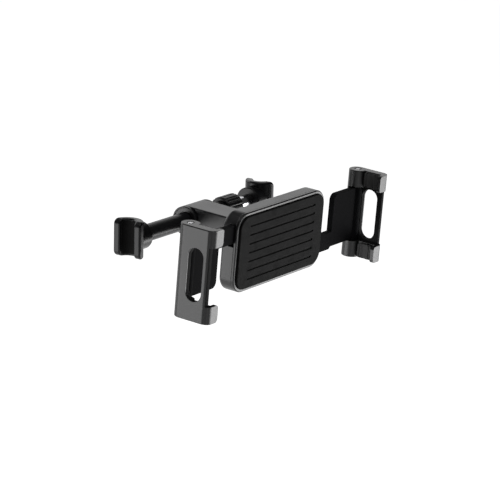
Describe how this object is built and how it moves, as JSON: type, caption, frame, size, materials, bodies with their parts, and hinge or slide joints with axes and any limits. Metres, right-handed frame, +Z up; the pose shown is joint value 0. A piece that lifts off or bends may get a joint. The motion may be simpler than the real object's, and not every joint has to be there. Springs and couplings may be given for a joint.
{
  "type": "headrest tablet mount",
  "caption": "Headrest tablet mount: a telescopic bar with post cradles carries a tilting, turning holder with sliding, folding slotted jaws.",
  "frame": {"origin": "on the axis of the bar, midway between the two headrest posts", "axes": "+X along the bar to the right as the user sees it, +Y from the user to the seat, +Z up"},
  "size_m": [0.1918, 0.0907, 0.0574],
  "materials": {
    "gloss_black_metal": "gloss",
    "matte_black_plastic": "matte",
    "satin_black_plastic": "satin",
    "soft_black_rubber": "matte",
    "black_screw_steel": "satin",
    "bright_steel": "satin",
    "bush_plastic": "matte"
  },
  "bodies": {
    "post_bar": {"outer_tube": "gloss_black_metal", "left_hook": "matte_black_plastic", "left_hook_liner": "soft_black_rubber", "left_hook_screw": "black_screw_steel", "lock_collet": "bush_plastic"},
    "slide_rod": {"inner_rod": "bright_steel", "right_hook": "matte_black_plastic", "right_hook_liner": "soft_black_rubber", "right_hook_screw": "black_screw_steel"},
    "lock_ring": {"lock_nut": "matte_black_plastic"},
    "hub": {"hub_block": "satin_black_plastic", "hub_cap_left": "satin_black_plastic", "hub_cap_right": "satin_black_plastic", "tilt_bush": "bush_plastic", "swivel_bolt": "bright_steel", "spring_washer": "bright_steel", "friction_disc": "bush_plastic"},
    "holder": {"rear_cover": "satin_black_plastic", "front_cover": "satin_black_plastic", "front_pad": "soft_black_rubber", "cover_screws": "black_screw_steel", "pinion_axle": "bright_steel", "clamp_spring": "bright_steel"},
    "drive": {"pinion": "bush_plastic"},
    "arm_left": {"left_arm": "matte_black_plastic"},
    "arm_right": {"right_arm": "matte_black_plastic"},
    "jaw_left": {"left_jaw": "satin_black_plastic", "left_jaw_pads": "soft_black_rubber", "left_hinge_pin": "bright_steel"},
    "jaw_right": {"right_jaw": "satin_black_plastic", "right_jaw_pads": "soft_black_rubber", "right_hinge_pin": "bright_steel"}
  },
  "joints": [
    {"name": "bar_slide", "type": "slide", "parent": "post_bar", "child": "slide_rod", "axis": [1, 0, 0], "range_m": [-0.012, 0.03]},
    {"name": "lock_twist", "type": "hinge", "parent": "post_bar", "child": "lock_ring", "pos_m": [0.034, 0, 0], "axis": [1, 0, 0], "range_deg": [0, 60]},
    {"name": "hub_tilt", "type": "hinge", "parent": "post_bar", "child": "hub", "pos_m": [0, 0, 0], "axis": [1, 0, 0], "range_deg": [-45, 45]},
    {"name": "holder_turn", "type": "hinge", "parent": "hub", "child": "holder", "pos_m": [0, -0.045, 0], "axis": [0, 1, 0], "continuous": true},
    {"name": "left_arm_slide", "type": "slide", "parent": "holder", "child": "arm_left", "axis": [-1, 0, 0], "range_m": [-0.013, 0.024]},
    {"name": "right_arm_slide", "type": "slide", "parent": "holder", "child": "arm_right", "axis": [1, 0, 0], "range_m": [-0.013, 0.024]},
    {"name": "pinion_spin", "type": "hinge", "parent": "holder", "child": "drive", "pos_m": [0, -0.0596, 0], "axis": [0, 1, 0], "range_deg": [-232, 127], "deforming": ["clamp_spring"]},
    {"name": "left_jaw_fold", "type": "hinge", "parent": "arm_left", "child": "jaw_left", "pos_m": [-0.09015, -0.0596, 0], "axis": [0, 0, 1], "range_deg": [0, 85]},
    {"name": "right_jaw_fold", "type": "hinge", "parent": "arm_right", "child": "jaw_right", "pos_m": [0.09015, -0.0596, 0], "axis": [0, 0, -1], "range_deg": [0, 85]}
  ],
  "couplings": [
    {"joint": "right_arm_slide", "follows": "left_arm_slide", "ratio": 1},
    {"joint": "pinion_spin", "follows": "left_arm_slide", "rad_per_m": -166.67}
  ]
}
